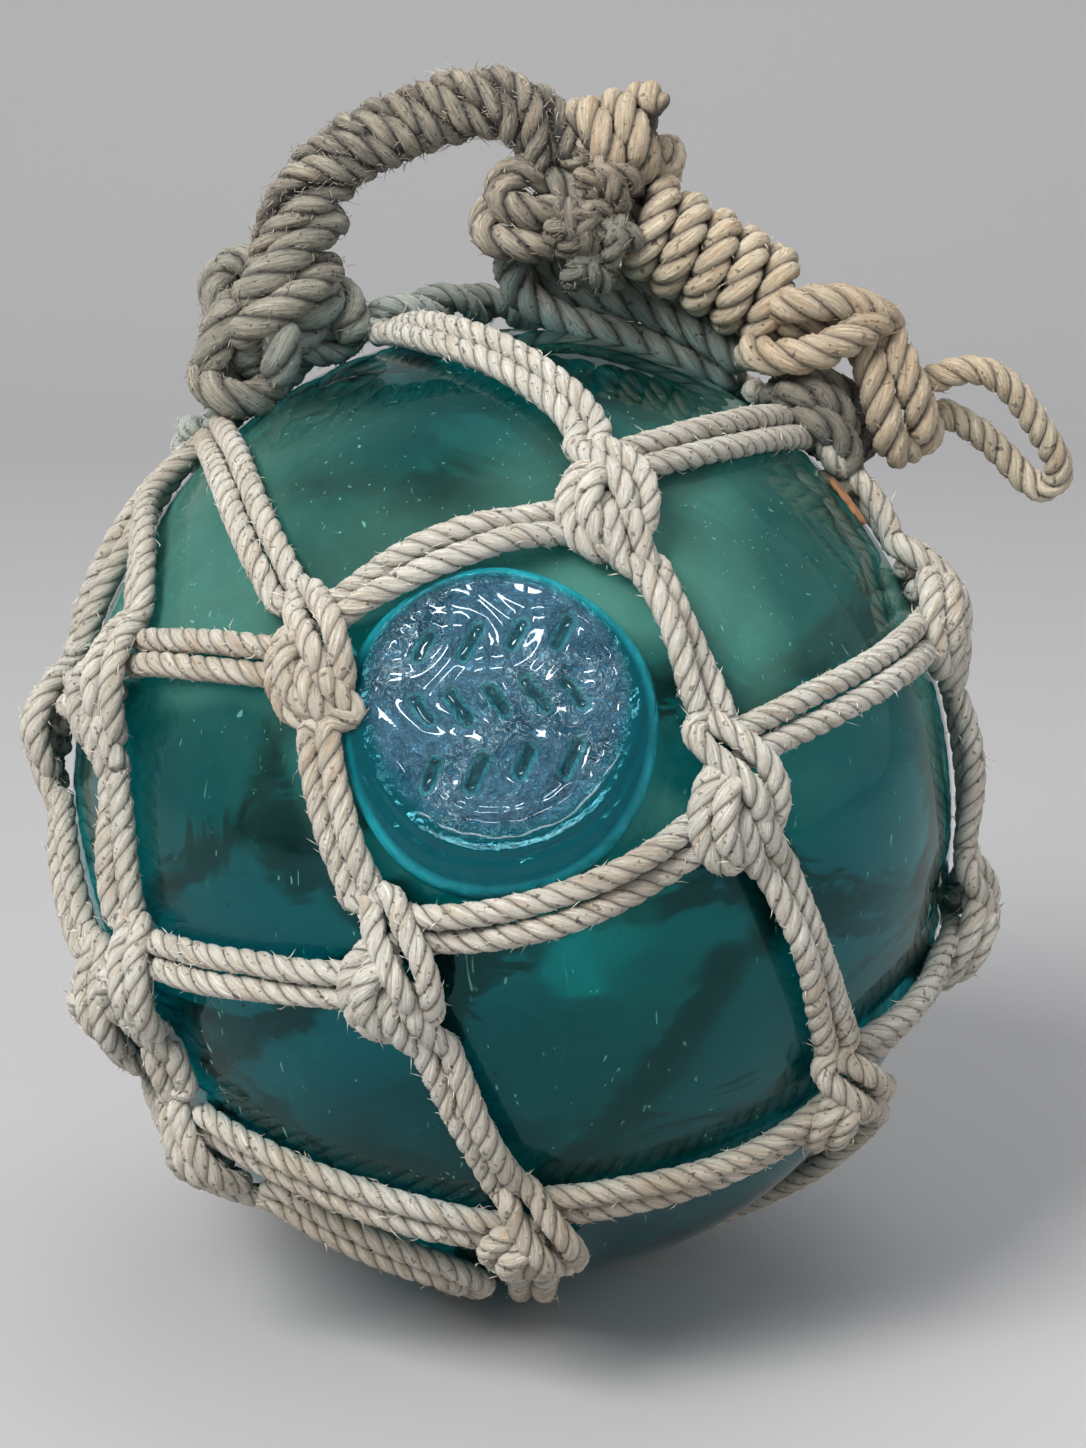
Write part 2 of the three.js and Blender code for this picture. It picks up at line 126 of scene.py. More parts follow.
class Ropework:  # gathers laid ropes and loose fibres into one mesh
    def __init__(self, seed):
        self.chance = random.Random(seed)
        self.verts, self.faces, self.lay, self.wear, self.count = [], [], [], [], 0

    def skin(self, rings, lay, wear, tip=None):  # rings of points, closed with a fan at each end
        n, k, _ = rings.shape
        middles = np.stack([rings[0].mean(0), rings[-1].mean(0) if tip is None else tip])
        i = np.arange(n - 1)[:, None] * k
        j = np.arange(k)[None, :]
        nxt = (j + 1) % k
        quads = np.stack([i + j, i + nxt, i + k + nxt, i + k + j], axis=-1).reshape(-1, 4)
        first, last = n * k, n * k + 1
        fans = [(first, (a + 1) % k, a) for a in range(k)]
        fans += [(last, (n - 1) * k + a, (n - 1) * k + (a + 1) % k) for a in range(k)]
        self.verts.append(np.vstack([rings.reshape(-1, 3), middles]))
        self.faces += (quads + self.count).tolist() + [[a + self.count for a in fan] for fan in fans]
        self.lay.append(np.vstack([lay.reshape(-1, 3), lay[0].mean(0), lay[-1].mean(0)]))
        self.wear.append(np.vstack([wear.reshape(-1, 3), wear[0].mean(0), wear[-1].mean(0)]))
        self.count += n * k + 2

    def rope(self, line, width, stain=0.0, squash=1.0, pitch=laid["pitch"], groove=laid["groove"], flat=None,
             lively=0.03, hairs=2.0, core=None, crest=0.0):
        pitch = pitch * width
        line = evenly(line, pitch / laid["ringsPerPitch"])
        ahead, side, over = framesAlong(line)
        s = np.concatenate([[0], np.cumsum(np.linalg.norm(np.diff(line, axis=0), axis=1))])
        k = 3 * laid["pointsPerStrand"]
        theta = np.linspace(0, 2 * np.pi, k, endpoint=False)
        phi = (theta + np.pi / 3) % (2 * np.pi / 3) - np.pi / 3
        valley = np.abs(phi) / (np.pi / 3)
        reach = 1 - groove * valley ** laid["roundness"]
        turned = self.chance.uniform(0, 6.28) + 2 * np.pi * s / pitch
        lobe = np.floor((theta + np.pi / 3) / (2 * np.pi / 3)) % 3
        widths = s[:, None] / width
        swell = 1 + lively * np.sin(widths * 1.8 + lobe * 2.1 + self.chance.uniform(0, 6))
        swell *= 1 + lively * 0.7 * np.sin(widths * 4.6 + lobe * 1.3 + self.chance.uniform(0, 6))
        alpha = theta[None, :] + turned[:, None]
        r = width / 2 * reach[None, :] * swell
        taper = np.clip(np.minimum(s, s[-1] - s) / (width * 0.35), 0, 1) ** 0.5
        r = r * (0.25 + 0.75 * taper)[:, None]
        rings = line[:, None, :] + r[..., None] * (
            np.cos(alpha)[..., None] * side[:, None, :] + np.sin(alpha)[..., None] * over[:, None, :])
        if flat is not None:
            outs = flat(line)
            depth = ((rings - line[:, None, :]) * outs[:, None, :]).sum(-1, keepdims=True)
            rings = rings + outs[:, None, :] * depth * (squash - 1)
        yarn = theta[None, :] + 0.45 * turned[:, None]
        rest = self.chance.uniform(0, 900)
        along = np.broadcast_to(s[:, None] + rest, r.shape)
        lay = np.stack([r * np.cos(yarn), r * np.sin(yarn), along], axis=-1)
        own = self.chance.uniform(0, 1)
        outward = unit(line @ lean / radii**2) @ lean.T
        lift = (np.linalg.norm(line @ lean / radii, axis=1) - 1) * radii[0]
        facing = -(unit(rings - line[:, None, :]) * outward[:, None, :]).sum(-1)
        # painted light: teal bounce from the glass on the rope sides that face it closely
        glow = np.clip(facing + 0.25, 0, 1) * np.clip(1.3 - lift / (1.4 * width), 0, 1)[:, None]
        valley = np.broadcast_to(valley, r.shape)
        if core is not None:  # the sides that other turns cover lie in shade
            apart = np.linalg.norm(rings[:, :, None, :] - core[None, None, :, :], axis=-1).min(-1)
            valley = np.maximum(valley, np.clip(1.0 - (apart - crest + 1.5) / 1.5, 0, 1) ** 0.25)
        # per point: painted shade in creases and covered sides, the rope's own tone, and sea stain with
        # painted bounce light
        wear = np.stack([valley, np.full(r.shape, own), stain + 0.75 * glow], axis=-1)
        self.skin(rings, lay, wear)
        self.hairsOn(line, ahead, side, over, width, hairs, stain)
        return line

    def hairsOn(self, line, ahead, side, over, width, hairs, stain):
        count = int(lengthOf(line) * hairs)
        pick = self.chance
        for _ in range(count):
            i = pick.randrange(1, len(line) - 1)
            angle = pick.uniform(0, 6.28)
            out = side[i] * math.cos(angle) + over[i] * math.sin(angle)
            aside = np.cross(ahead[i], out)
            lengthwise = ahead[i] * pick.choice((-1, 1)) * pick.uniform(0.5, 1.2)
            lengthwise = lengthwise + aside * pick.uniform(-0.9, 0.9)
            reach = pick.uniform(0.7, 2.0) * (1.8 if pick.random() < 0.15 else 1)
            start = line[i] + out * width * 0.42
            mid = start + unit(lengthwise + out * pick.uniform(0.15, 0.7)) * reach * 0.5
            curl = lengthwise + out * pick.uniform(-0.1, 1.1) + aside * pick.uniform(-0.8, 0.8)
            end = mid + unit(curl) * reach * 0.5
            self.fibre([start, mid, end], pick.uniform(0.06, 0.12), stain * 0.5)

    def fibre(self, points, radius, stain):  # a bent hair that ends in a point
        rings = []
        for point, size, ahead in zip(points, (1, 0.8), np.diff(points, axis=0)):
            t = unit(ahead)
            a = unit(np.cross(t, [0.3, 0.5, 0.81]))
            b = np.cross(t, a)
            rings.append([point + (a * math.cos(c) + b * math.sin(c)) * radius * size for c in (0, 2.1, 4.2)])
        rings = np.array(rings)
        lay = np.zeros_like(rings) + self.chance.uniform(0, 500)
        wear = np.zeros_like(rings) + np.array([0, self.chance.uniform(0, 1), stain])
        self.skin(rings, lay, wear, tip=points[-1])

    def piece(self, name, look, slot, nodes=()):
        mesh = bpy.data.meshes.new(name)
        verts = np.vstack(self.verts) * mm + ballMiddle
        mesh.from_pydata(verts.tolist(), [], self.faces)
        mesh.polygons.foreach_set("use_smooth", [True] * len(mesh.polygons))
        for title, values in (("lay", self.lay), ("wear", self.wear)):
            layer = mesh.attributes.new(title, "FLOAT_VECTOR", "POINT")
            layer.data.foreach_set("vector", np.vstack(values).astype(np.float32).ravel())
        mesh.update()
        mesh.materials.append(look)
        made = bpy.data.objects.new(name, mesh)
        bpy.context.scene.collection.objects.link(made)
        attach(made, "root")
        if nodes:
            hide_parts(*nodes)
        triangles = sum(len(face) - 2 for face in self.faces)
        print(name, triangles, "triangles")
        return made


class Wire:  # a shader socket that sums can be written with
    def __init__(self, tree, socket=None):
        self.tree, self.socket = tree, socket

    def node(self, kind, settings=None, values=None, output=0):
        made = self.tree.nodes.new(kind)
        for name, value in (settings or {}).items():
            if name == "stops":
                stops = made.color_ramp.elements
                while len(stops) < len(value):
                    stops.new(1)
                for stop, (position, colour) in zip(stops, value):
                    stop.position, stop.color = position, colour
            else:
                setattr(made, name, value)
        for name, value in (values or {}).items():
            if isinstance(value, Wire):
                self.tree.links.new(value.socket, made.inputs[name])
            else:
                made.inputs[name].default_value = value
        return Wire(self.tree, made.outputs[output])

    def sum(self, operation, a, b=0.0, clamp=False):
        return self.node("ShaderNodeMath", {"operation": operation, "use_clamp": clamp}, {0: a, 1: b})

    def __add__(self, other):
        return self.sum("ADD", self, other)

    def __radd__(self, other):
        return self.sum("ADD", other, self)

    def __sub__(self, other):
        return self.sum("SUBTRACT", self, other)

    def __rsub__(self, other):
        return self.sum("SUBTRACT", other, self)

    def __mul__(self, other):
        return self.sum("MULTIPLY", self, other)

    def __rmul__(self, other):
        return self.sum("MULTIPLY", other, self)

    def __pow__(self, other):
        return self.sum("POWER", self, other)

    def held(self):
        return self.sum("ADD", self, 0.0, clamp=True)

    def between(self, a, b, blend="MIX"):  # colours mixed by this value
        settings = {"data_type": "RGBA", "blend_type": blend}
        return self.node("ShaderNodeMix", settings, {0: self, 6: a, 7: b}, 2)

    def stretched(self, across, along):
        scales = (across, across, along)
        return self.node("ShaderNodeVectorMath", {"operation": "MULTIPLY"}, {0: self, 1: scales})

    def noise(self, scale, detail=2.0, rough=0.5, bend=0.0):
        values = {"Vector": self, "Scale": scale, "Detail": detail, "Roughness": rough, "Distortion": bend}
        return self.node("ShaderNodeTexNoise", None, values)

    def ramp(self, low, high):
        return self.node("ShaderNodeMapRange", None, {"Value": self, "From Min": low, "From Max": high})


def newLook(name):
    look = bpy.data.materials.new(name)
    look.use_nodes = True
    tree = look.node_tree
    shader = tree.nodes["Principled BSDF"]
    return look, Wire(tree), shader


def connect(wire, socket):
    wire.tree.links.new(wire.socket, socket)


def colour(r, g, b):
    return (r, g, b, 1.0)


def split(vector):  # the three parts of a vector
    parts = vector.node("ShaderNodeSeparateXYZ", None, {0: vector}).socket.node
    return [Wire(vector.tree, output) for output in parts.outputs]


# teal of real sea stain, also used for painted bounce light from the glass
seaStainAndGlassBounce = (0.16, 0.30, 0.29)


def ropeLook(name, tones):
    look, start, shader = newLook(name)
    pale, mid, tan, dark = (colour(*tones[key]) for key in ("pale", "mid", "tan", "dark"))
    lay = start.node("ShaderNodeAttribute", {"attribute_name": "lay"}, None, 1)
    wear = start.node("ShaderNodeAttribute", {"attribute_name": "wear"}, None, 1)
    valley, own, stainAndGlassBounce = split(wear)
    place = start.node("ShaderNodeTexCoord", None, None, 3)
    fibres = lay.stretched(1, 0.12).noise(1.9, 5, 0.78, 0.5)
    yarns = lay.stretched(1, 0.22).noise(0.9, 2, 0.5, 0.3)
    blotches = place.noise(95, 4, 0.62)
    grime = place.noise(26, 4, 0.6)
    flecks = place.noise(900, 1, 0.5).ramp(0.66, 0.71)
    shade = (fibres.ramp(0.38, 0.60) * 0.75 + blotches.ramp(0.36, 0.64) * 0.35 + own * 0.2 - 0.14).held()
    tone = shade.between(mid, pale)
    tone = (yarns.ramp(0.54, 0.66) * 0.5).held().between(tone, tan)
    tone = (grime.ramp(0.46, 0.72) * 0.6).held().between(tone, mid)
    low = (0.9 - split(place)[2] * 13).held()  # browner and darker towards the foot
    browning = (place.noise(17, 4, 0.65, 0.5).ramp(0.45, 0.68) * 0.55 + low * 0.3).held()
    tone = (browning * (0.5 + yarns)).held().between(tone, tan, "MULTIPLY")
    # sea stain, and painted teal bounce light from the glass
    tone = (stainAndGlassBounce * (0.4 + yarns * 0.6)).held().between(tone, colour(*seaStainAndGlassBounce))
    # painted shade in the creases between strands and on sides that other turns cover, varied by fibre noise;
    # the dark fibre streaks and flecks are the rope's own
    creaseShadeVariation = fibres * 2.2 - 0.35
    creaseShadeAndStreaks = valley ** tones["crevice"] * creaseShadeVariation + valley**2 * 0.2
    creaseShadeAndStreaks = (creaseShadeAndStreaks + (1 - fibres.ramp(0.32, 0.42)) * tones["streaks"] + flecks.held() * 0.6).held()
    tone = creaseShadeAndStreaks.between(tone, dark)
    connect(tone, shader.inputs["Base Color"])
    shader.inputs["Roughness"].default_value = tones["rough"]
    shader.inputs["Sheen Weight"].default_value = 0.15
    shader.inputs["Sheen Roughness"].default_value = 0.6
    relief = fibres * 0.9 + yarns * 0.5
    bump = start.node("ShaderNodeBump", None, {"Strength": 1.0, "Distance": 0.0009, "Height": relief})
    connect(bump, shader.inputs["Normal"])
    return look


netLook = ropeLook("net_fibre", {
    "pale": (0.96, 0.92, 0.83), "mid": (0.60, 0.555, 0.47), "tan": (0.60, 0.44, 0.28),
    "dark": (0.07, 0.055, 0.04), "rough": 0.92, "crevice": 7, "streaks": 0.45})
handleLook = ropeLook("handle_fibre", {
    "pale": (0.72, 0.63, 0.49), "mid": (0.15, 0.125, 0.095), "tan": (0.42, 0.27, 0.15),
    "dark": (0.014, 0.011, 0.008), "rough": 0.9, "crevice": 4, "streaks": 0.95})
oldLook = ropeLook("old_knot_fibre", {
    "pale": (0.56, 0.48, 0.36), "mid": (0.11, 0.09, 0.07), "tan": (0.30, 0.19, 0.10),
    "dark": (0.01, 0.008, 0.006), "rough": 0.92, "crevice": 3, "streaks": 0.95})
lanyardLook = ropeLook("lanyard_fibre", {
    "pale": (0.93, 0.83, 0.64), "mid": (0.46, 0.37, 0.25), "tan": (0.55, 0.36, 0.19),
    "dark": (0.05, 0.035, 0.022), "rough": 0.66, "crevice": 7, "streaks": 0.45})

# The free loop at the lanyard's end, out from the turns' upper side and back beneath.
loopRoute = [
    (65.2, 5, 69), (68.2, 4.6, 69.8), (71.5, 4.2, 70.9), (74.8, 4.2, 70.8), (78.1, 4.4, 69.2),
    (81.1, 4.8, 66.2), (84, 5.4, 62.3), (86.6, 6.2, 58.4), (88.2, 7.2, 55), (88.1, 8.5, 52.2),
    (86, 9.6, 50.8), (83.2, 10.2, 52.4), (80.3, 10.4, 55.4), (77, 10.2, 58.6), (73.6, 9.6, 61.1),
    (70.3, 8.8, 63), (67.5, 8, 64),
]
loopWork = Ropework(3)
loopLay = {"width": loopRope * 1.07, "pitch": 1.9, "groove": 0.22, "lively": 0.02, "hairs": 1}
loopLine = loopWork.rope(threaded(loopRoute), **loopLay)
loop = loopWork.piece("free_loop", lanyardLook, "loop_rope", ["lanyard_loop"])
loopPath = (loopLine * mm + ballMiddle).tolist()
lengthOf(loopLine) * mm
print("loop made")

# Knots from the right round by the front to the back, in degrees around and down; bows in degrees.
net = {
    "shoulder": [(3, 42), (-68, 43), (-112, 59), (-147, 66), (-171, 75), (126, 72), (62, 60)],
    "waist": [(-9, 68), (-62, 77), (-102, 92), (-140, 98), (-151, 103), (130, 104), (60, 92)],
    "hip": [(-10, 105), (-43, 117), (-89, 129), (-140, 120), (168, 124), (108, 124), (48, 116)],
    "crown": [(176, 36), (166, 23), (148, 14), (122, 13), (85, 22), (60, 40), (95, 56), (140, 50)],
    "crownLift": [1, 1, 1.5, 2.2, 2, 1, 1, 1],
    "feet": [
        [(12, 130), (24, 152), (36, 170)], [(-18, 128), (-4, 150), (-11, 172.5)],
        [(-92, 146), (-94, 158), (-96, 171.5)], [(-119, 134), (-106, 145), (-125, 160), (-146, 167)],
        [(172, 145), (166, 162)], [(112, 145), (122, 161.5)], [(60, 145), (82, 165)],
    ],
    "waistBow": [0, 0, -2, 0, 0, 0, 0],
    "rowBows": [[2.5, -0.5, 0, 0, 0, 0, 0], [0.5, 2.5, 0, 0, 0, 0, 0], [-1, 0, -2.4, 0, 0, 0, 0]],
    "rest": 0.5, "clear": 0.3, "footPressed": 0.012, "knotRoom": 2.9,
    "rowEnds": (1.5, -4.5), "crownTurns": 11,
}
crown = net["crown"]
net["upper"] = [
    [crown[5]], [crown[2], (-120, 9), (-77, 18), (-66, 30)], [crown[0], (-147, 38), (-127, 47)],
    [crown[0], (-176, 45), (-157, 51), (-149, 58)], [crown[0], (178, 42), (-173, 50), (-173, 60)],
    [crown[6]], [crown[5]],
]

seal = {
    "place": (-89.3, 66.8), "wide": 47.6, "high": 50.6, "thick": 4.4, "recess": 1.6, "recessRise": 0.15,
    "edge": 0.9, "back": 0.4, "around": 240, "rings": 90,
    "cordClimb": 3.0, "climbFrom": 1.2, "climbOver": 0.17,
}
sealWay = way(seal["place"])
sealOut = unit(unit(sealWay / radii) @ lean.T)
sealSide = unit(np.cross([0, 0, 1], sealOut))
sealUp = np.cross(sealOut, sealSide)


def overSeal(ways):  # the cords climb where they cross the seal's edge
    apart = ways - sealWay
    u = apart @ sealSide * radii[0] / (seal["wide"] / 2)
    v = apart @ sealUp * radii[2] / (seal["high"] / 2)
    climbed = np.clip((seal["climbFrom"] - np.hypot(u, v)) / seal["climbOver"], 0, 1)
    return climbed * seal["cordClimb"] * (ways @ sealWay > 0)


# A knot's strands: across, up and off the glass, in rope widths.
knotOver = {
    -1: [(-0.45, 2.5, 0.75), (-0.35, 1.6, 1.3), (-0.05, 0.55, 1.8), (0.15, -0.4, 1.75), (0.1, -1.1, 1.1)],
    1: [(0.5, 2.5, 0.75), (0.75, 1.6, 1.35), (1.05, 0.5, 1.7), (1.0, -0.5, 1.6), (0.7, -1.35, 1.1),
        (0.2, -1.75, 0.6)],
}
knotUnder = {
    -1: [(-0.3, 0.1, 0.9), (-0.62, -0.8, 1.35), (-0.62, -1.6, 1.15), (-0.5, -2.5, 0.7)],
    1: [(0.3, -0.3, 0.9), (0.12, -1.1, 1.35), (0.28, -1.8, 1.1), (0.48, -2.6, 0.65)],
}
knotWraps = [
    [(0.3, 0.9, 0.9), (-0.6, 1.1, 1.25), (-1.45, 0.6, 1.25), (-1.95, -0.35, 1.0), (-1.9, -1.2, 0.8),
     (-1.3, -1.85, 0.6), (-0.5, -1.9, 0.5)],
    [(0.2, 0.5, 1.0), (-0.45, 0.62, 1.7), (-1.05, 0.1, 1.75), (-1.35, -0.7, 1.5), (-1.15, -1.45, 1.1),
     (-0.5, -1.8, 0.7)],
]


def bowed(ways, bow):
    side = unit(np.cross(ways[0], ways[-1]))
    t = np.linspace(0, 1, len(ways))
    return unit(ways + side * (np.sin(np.pi * t) * math.tan(math.radians(bow)))[:, None])


def lineOnGlass(places, bow=0.0):
    return bowed(evenly(threaded([way(place) for place in places]), 0.02), bow)


def besides(ways, across, lift):  # a line to one side of another over the glass
    aside = unit(np.cross(ways, np.gradient(ways, axis=0)))
    spots = unit(ways + aside * (np.asarray(across) / radii[0])[..., None])
    return onGlass(spots, np.broadcast_to(lift, len(ways)) + overSeal(spots))


def pairLines(ways, chance, sway=0.5):  # two ropes side by side, now and then one on the other
    t = np.linspace(0, 1, len(ways))
    tilt = sway * np.sin(np.pi * t) * np.sin(t * chance.uniform(2, 6) + chance.uniform(0, 6))
    half = netRope * 0.47
    rest = netRope * net["rest"] + net["clear"]
    lines = {}
    for side in (-1, 1):
        lift = rest + np.maximum(side * np.sin(tilt), 0) * 2 * half
        lines[side] = besides(ways, side * half * np.cos(tilt), lift)
    return lines


class Knot:
    def __init__(self, place, above, below, chance):
        self.way = way(place)
        up = unit(above - self.way) - unit(below - self.way)
        self.up = unit(up - self.way * (up @ self.way))
        self.aside = np.cross(self.up, self.way)
        self.size = chance.uniform(0.94, 1.08)
        self.turn = math.radians(chance.uniform(-9, 9))

    def spots(self, route):
        points = np.array(route)
        c, s = math.cos(self.turn), math.sin(self.turn)
        x = (points[:, 0] * c - points[:, 1] * s) * netRope * self.size
        y = (points[:, 0] * s + points[:, 1] * c) * netRope * self.size
        spread = (x[:, None] * self.aside + y[:, None] * self.up) / radii[0]
        spots = unit(self.way + spread)
        return onGlass(spots, points[:, 2] * netRope * self.size + net["clear"] + overSeal(spots) * 0.6)


rowNames = ["shoulder", "waist", "hip"]
netChance = random.Random(11)
stretches = []
for column in range(7):
    knots = [net[name][column] for name in rowNames]
    lines = [
        lineOnGlass(net["upper"][column] + [knots[0]]), lineOnGlass(knots[:2], net["waistBow"][column]),
        lineOnGlass(knots[1:]), lineOnGlass([knots[2]] + net["feet"][column]),
    ]
    stretches.append(lines)
knotTable = {}
for column, lines in enumerate(stretches):
    for row, name in enumerate(rowNames):
        knotTable[row, column] = Knot(net[name][column], lines[row][-8], lines[row + 1][7], netChance)


def alongClear(points, knots, room):  # drops what lies inside the knots at a line's ends
    keep = np.ones(len(points), bool)
    for knot in knots:
        middle = onGlass(knot.way, 0.0)
        keep &= np.linalg.norm(points - middle, axis=1) > room
    return points[keep]


uprights = [Ropework(21), Ropework(22)]
for column, lines in enumerate(stretches):
    work = uprights[0] if column in (1, 2, 3) else uprights[1]
    for k, ways in enumerate(lines):
        above = knotTable.get((k - 1, column))
        below = knotTable.get((k, column))
        for side, line in pairLines(ways, netChance).items():
            middle = alongClear(line, [knot for knot in (above, below) if knot], netRope * net["knotRoom"])
            if k == 3:  # drawn a little inwards where it reaches the ring
                t = np.linspace(0, 1, len(middle))[:, None]
                middle = middle * (1 - t**2 * net["footPressed"])
            ends = []
            if above:
                ends.append(above.spots(knotUnder[side]))
            ends.append(middle[:: max(1, len(middle) // 9)])
            if below and (k, column) != (0, 0):
                ends.append(below.spots(knotOver[side]))
            work.rope(threaded(np.vstack(ends), fine=12), netRope, stain=0.12)
knotWork = Ropework(23)
for (row, column), knot in knotTable.items():
    if (row, column) == (0, 0):
        continue
    for wrap in knotWraps:
        knotWork.rope(threaded(knot.spots(wrap), fine=12), netRope * 1.06, stain=0.08, hairs=2.5)
rowWorks = [Ropework(24), Ropework(27)]
for row, name in enumerate(rowNames):
    for i, start in enumerate(net[name]):
        end = net[name][(i + 1) % 7]
        places = [(start[0], start[1] + net["rowEnds"][0]), (end[0], end[1] + net["rowEnds"][1])]
        ways = lineOnGlass(places, net["rowBows"][row][i])
        for line in pairLines(ways, netChance, 0.35).values():
            rowWorks[i > 2].rope(line, netRope, stain=0.1)

crownWork = Ropework(25)
crownWays = unit(threaded([way(place) for place in crown], closed=True))
crownWays = unit(evenly(crownWays, 0.012))
crownStops = np.linspace(0, len(crown), len(crownWays))
lifts = np.interp(crownStops, range(len(crown) + 1), net["crownLift"] + net["crownLift"][:1])
twist = np.linspace(0, 2 * np.pi * net["crownTurns"], len(crownWays))
for side in (0, np.pi):
    lift = (lifts - 1) * netRope + netRope * 0.95 + np.sin(twist + side) * netRope * 0.47
    line = besides(crownWays, np.cos(twist + side) * netRope * 0.5, lift)
    crownWork.rope(line, netRope, stain=0.75)

# The knot at the right, in the handle's rope.
rightKnot = [
    [(40, 0, 65.5), (44, 0, 69), (50, 2, 69), (55.5, 4, 63.5), (56, 4, 56)],
    [(43, -5, 64), (49, -6, 64), (53, -4, 59), (52, -3, 54), (47, -4, 54)],
    [(42, 3, 62), (47, 2, 62), (51, 3, 57)],
    [(41, -3, 67.5), (46.5, -4, 68.5), (51.5, -2.5, 65.5), (53, 0, 60)],
    [(45, 0, 67), (49, 1, 63), (52, 1, 58)],
]
rightWork = Ropework(26)
for route in rightKnot:
    rightWork.rope(threaded(route), handleRope, stain=0.15, groove=0.2, hairs=4)
# A scrap of old bark caught under the cords at the right.
scrap = {"place": (-7.5, 52), "long": 8.5, "wide": 4.6, "thick": 0.9, "lean": 78, "lift": 0.8, "steps": 17}
scrapWork = Ropework(28)
scrapWay = way(scrap["place"])
scrapSide = unit(np.cross([0, 0, 1], scrapWay))
scrapUp = np.cross(scrapWay, scrapSide)
scrapLean = math.radians(scrap["lean"])
scrapAim = scrapSide * math.cos(scrapLean) + scrapUp * math.sin(scrapLean)
scrapT = np.linspace(-1, 1, scrap["steps"])
scrapWays = unit(scrapWay + scrapT[:, None] * scrapAim * scrap["long"] / 2 / radii[0])
scrapLine = onGlass(scrapWays, np.full(scrap["steps"], scrap["lift"]))
angles = np.linspace(0, 2 * np.pi, 14, endpoint=False)
scrapAhead = unit(np.gradient(scrapLine, axis=0))
scrapOut = unit(scrapLine)
scrapWide = np.cross(scrapAhead, scrapOut)
ragged = 1 + 0.16 * np.sin(scrapT * 11) + 0.1 * np.sin(scrapT * 23)
ragged = ragged * scrap["wide"] / 2 * (1 - np.abs(scrapT) ** 5 * 0.75)
c, s = np.cos(angles)[None, :], np.sin(angles)[None, :]
scrapRings = scrapLine[:, None, :] + (ragged[:, None] * c)[..., None] * scrapWide[:, None, :]
scrapRings = scrapRings + scrap["thick"] / 2 * s[..., None] * scrapOut[:, None, :]
scrapLay = np.stack(np.broadcast_arrays(c * 2, s, scrapT[:, None] * 5), axis=-1)
scrapWork.skin(scrapRings, scrapLay, np.zeros_like(scrapRings) + np.array([0, 0.6, 0]))
barkLook = ropeLook("old_bark", {
    "pale": (0.68, 0.33, 0.13), "mid": (0.42, 0.18, 0.06), "tan": (0.5, 0.24, 0.1),
    "dark": (0.08, 0.03, 0.015), "rough": 0.8, "crevice": 7, "streaks": 0.45})
scrapWork.piece("bark_scrap", barkLook, "net_rope")
uprights[0].piece("net_front_cords", netLook, "net_rope", ["rope_net"])
uprights[1].piece("net_side_cords", netLook, "net_rope")
knotWork.piece("net_knots", netLook, "net_rope")
rowWorks[0].piece("net_front_rows", netLook, "net_rope")
rowWorks[1].piece("net_back_rows", netLook, "net_rope")
crownWork.piece("net_crown", netLook, "net_rope")
rightWork.piece("net_right_knot", oldLook, "net_rope")
print("net made")

# The ring of rope on which the net was begun, pressed flat under the ball.
ring = {"across": 24, "back": 5, "wide": 5.8, "high": 2.9, "gap": 0.35, "steps": 97}
ringWork = Ropework(31)
angle = np.linspace(0, 2 * np.pi, ring["steps"])
ringLevel = -radii[2] - ring["gap"] - ring["high"] / 2
ringLine = np.stack([np.cos(angle), np.sin(angle), angle * 0], axis=1) * ring["across"] / 2
ringLine = ringLine + np.array([0, ring["back"], ringLevel])
ringWork.rope(ringLine, ring["wide"], stain=0.2, squash=ring["high"] / ring["wide"],
              flat=lambda line: np.broadcast_to([0.0, 0.0, 1.0], line.shape), hairs=0)
ringWork.piece("start_ring_rope", netLook, "ring_rope", ["start_ring"])

# The handle: its arch, the knot at its left foot, the leg on the right and the loops between.
archRoute = [
    (-37, 4, 86), (-36, 5, 91.5), (-33.5, 6, 97.5), (-28.5, 7, 102.8), (-22.5, 8, 107), (-15.3, 9, 110.2),
    (-7, 9, 112), (0, 9, 112), (5, 8, 108.5), (7.5, 7, 102.5),
]
leftKnot = [
    [(-27, 8, 95.5), (-32, 2, 92), (-38, -2, 87), (-43, -3, 82)],
    [(-28, 7, 88), (-33, -1, 84), (-39, -5, 80.5), (-44.5, -4, 77)],
    [(-39, 4, 87.5), (-43, 5, 88), (-46.3, 4, 86), (-46.5, 1, 82.5), (-44, -3, 80)],
    [(-43.5, -2, 83), (-45.5, -4, 79.5), (-47, -4, 75), (-47.5, -3, 71.5)],
    [(-48.5, 6, 72.5), (-48.2, -3, 70.5), (-45, -7, 68.5), (-41, -5, 67.5), (-37, 1, 70)],
    [(-36, -3, 80), (-36, -6, 75), (-37, -4, 70)],
    [(-31, 7, 84), (-27, 8, 82), (-25.5, 7, 78.5), (-27, 5, 75)],
]
legRoute = [(-1, 9, 92), (1, 11, 85), (8, 12, 80.5), (18, 12, 78), (29, 11, 74), (38, 9.5, 69.5)]
smallLoops = [
    [(9, 6, 96.5), (3, 3, 96), (-2, 2, 98.5), (0, 4, 102), (6, 6, 102.5)],
    [(8, 5, 91), (2, 3, 91), (-4, 3, 92.5), (-3, 6, 96.5), (4, 8, 96.5)],
]
leftKnotCores = [
    [(-34, 4, 88), (-37, 2, 82), (-40, 0, 76), (-43, -1, 71)],
    [(-29, 6, 86), (-31, 4, 81), (-34, 2, 77), (-38, 0, 74)],
    [(-47, 4, 80), (-46, 3, 75), (-43.5, 2, 70.5), (-40, 2, 69.5)],
]
